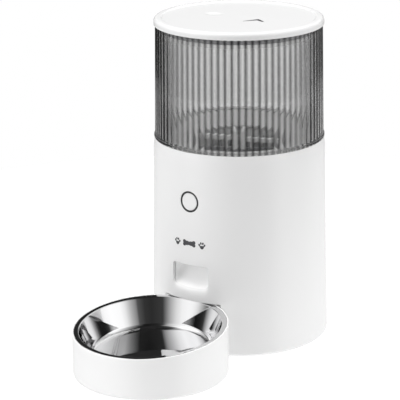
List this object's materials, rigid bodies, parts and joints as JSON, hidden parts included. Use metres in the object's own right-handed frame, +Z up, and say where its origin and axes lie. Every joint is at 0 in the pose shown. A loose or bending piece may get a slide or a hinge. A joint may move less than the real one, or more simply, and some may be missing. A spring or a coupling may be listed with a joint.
{
  "type": "automatic pet feeder",
  "caption": "Round automatic pet feeder: white base unit with button and food chute, smoked reeded hopper tank with lid, and a steel bowl in a docked tray.",
  "frame": {"origin": "on the ground at the middle of the feeder's footprint, base unit and bowl tray together", "axes": "+Z up, -Y towards the bowl, +X to the right for someone facing the feeder's front"},
  "size_m": [0.188, 0.3334, 0.343],
  "materials": {
    "gloss_white": "moulded gloss ABS",
    "inner_white": "moulded satin ABS, inside",
    "smoked_clear": "smoked transparent plastic, reeded",
    "bowl_steel": "polished stainless steel",
    "zinc_steel": "zinc-plated steel",
    "grey_silicone": "soft silicone",
    "foot_rubber": "matte rubber",
    "dark_plastic": "moulded dark plastic",
    "gear_acetal": "natural acetal",
    "brass": "turned brass",
    "board_green": "solder-masked circuit board",
    "cell_jacket": "plain cell jacket",
    "desiccant_sachet": "non-woven sachet"
  },
  "bodies": {
    "base": {"housing": "gloss_white", "food_chute": "gloss_white", "base_plate": "inner_white", "bowl_dock": "inner_white", "rotor_chamber": "inner_white", "chamber_deck": "inner_white", "motor_connector": "inner_white", "board_carrier": "inner_white", "battery_bay": "inner_white", "base_screw_1": "zinc_steel", "base_screw_2": "zinc_steel", "base_screw_3": "zinc_steel", "base_screw_4": "zinc_steel", "deck_screw_1": "zinc_steel", "deck_screw_2": "zinc_steel", "deck_screw_3": "zinc_steel", "gear_motor": "zinc_steel", "radio_module": "zinc_steel", "contact_spring_1": "zinc_steel", "contact_spring_2": "zinc_steel", "contact_spring_3": "zinc_steel", "base_foot_1": "foot_rubber", "base_foot_2": "foot_rubber", "base_foot_3": "foot_rubber", "base_foot_4": "foot_rubber", "food_sensor_left": "dark_plastic", "food_sensor_right": "dark_plastic", "light_ring": "dark_plastic", "tact_switch": "dark_plastic", "power_socket": "dark_plastic", "gear_case": "dark_plastic", "shaft_bush": "brass", "button_board": "board_green", "control_board": "board_green", "backup_cell_1": "cell_jacket", "backup_cell_2": "cell_jacket", "backup_cell_3": "cell_jacket"},
    "tank": {"hopper_tank": "smoked_clear", "tank_funnel": "inner_white"},
    "lid": {"lid": "gloss_white", "lid_seal": "grey_silicone", "desiccant_cup": "inner_white", "desiccant_pack": "desiccant_sachet", "desiccant_grille": "inner_white"},
    "button": {"button_cap": "gloss_white"},
    "rotor": {"portion_rotor": "grey_silicone", "agitator": "gear_acetal", "drive_shaft": "zinc_steel", "drive_gear": "gear_acetal"},
    "pinion": {"motor_pinion": "brass", "motor_shaft": "zinc_steel"},
    "tray": {"bowl_tray": "gloss_white", "steel_bowl": "bowl_steel", "tray_foot_1": "foot_rubber", "tray_foot_2": "foot_rubber", "tray_foot_3": "foot_rubber"},
    "battery_door": {"battery_door": "inner_white"}
  },
  "joints": [
    {"name": "tank_lift", "type": "slide", "parent": "base", "child": "tank", "axis": [0, 0, 1], "range_m": [0, 0.12]},
    {"name": "lid_lift", "type": "slide", "parent": "tank", "child": "lid", "axis": [0, 0, 1], "range_m": [0, 0.06]},
    {"name": "button_press", "type": "slide", "parent": "base", "child": "button", "axis": [0, 1, 0], "range_m": [0, 0.001], "stiffness_N_per_m": 300},
    {"name": "rotor_spin", "type": "hinge", "parent": "base", "child": "rotor", "pos_m": [0, 0.07275, 0.18], "axis": [0, 0, 1], "continuous": true},
    {"name": "pinion_spin", "type": "hinge", "parent": "base", "child": "pinion", "pos_m": [0, 0.09875, 0.153], "axis": [0, 0, 1], "continuous": true},
    {"name": "tray_pull", "type": "slide", "parent": "base", "child": "tray", "axis": [0, -1, 0], "range_m": [0, 0.06]},
    {"name": "battery_door_swing", "type": "hinge", "parent": "base", "child": "battery_door", "pos_m": [0, 0.12195, 0.0012], "axis": [1, 0, 0], "range_deg": [0, 85]}
  ],
  "couplings": [
    {"joint": "pinion_spin", "follows": "rotor_spin", "ratio": -3.3333}
  ]
}
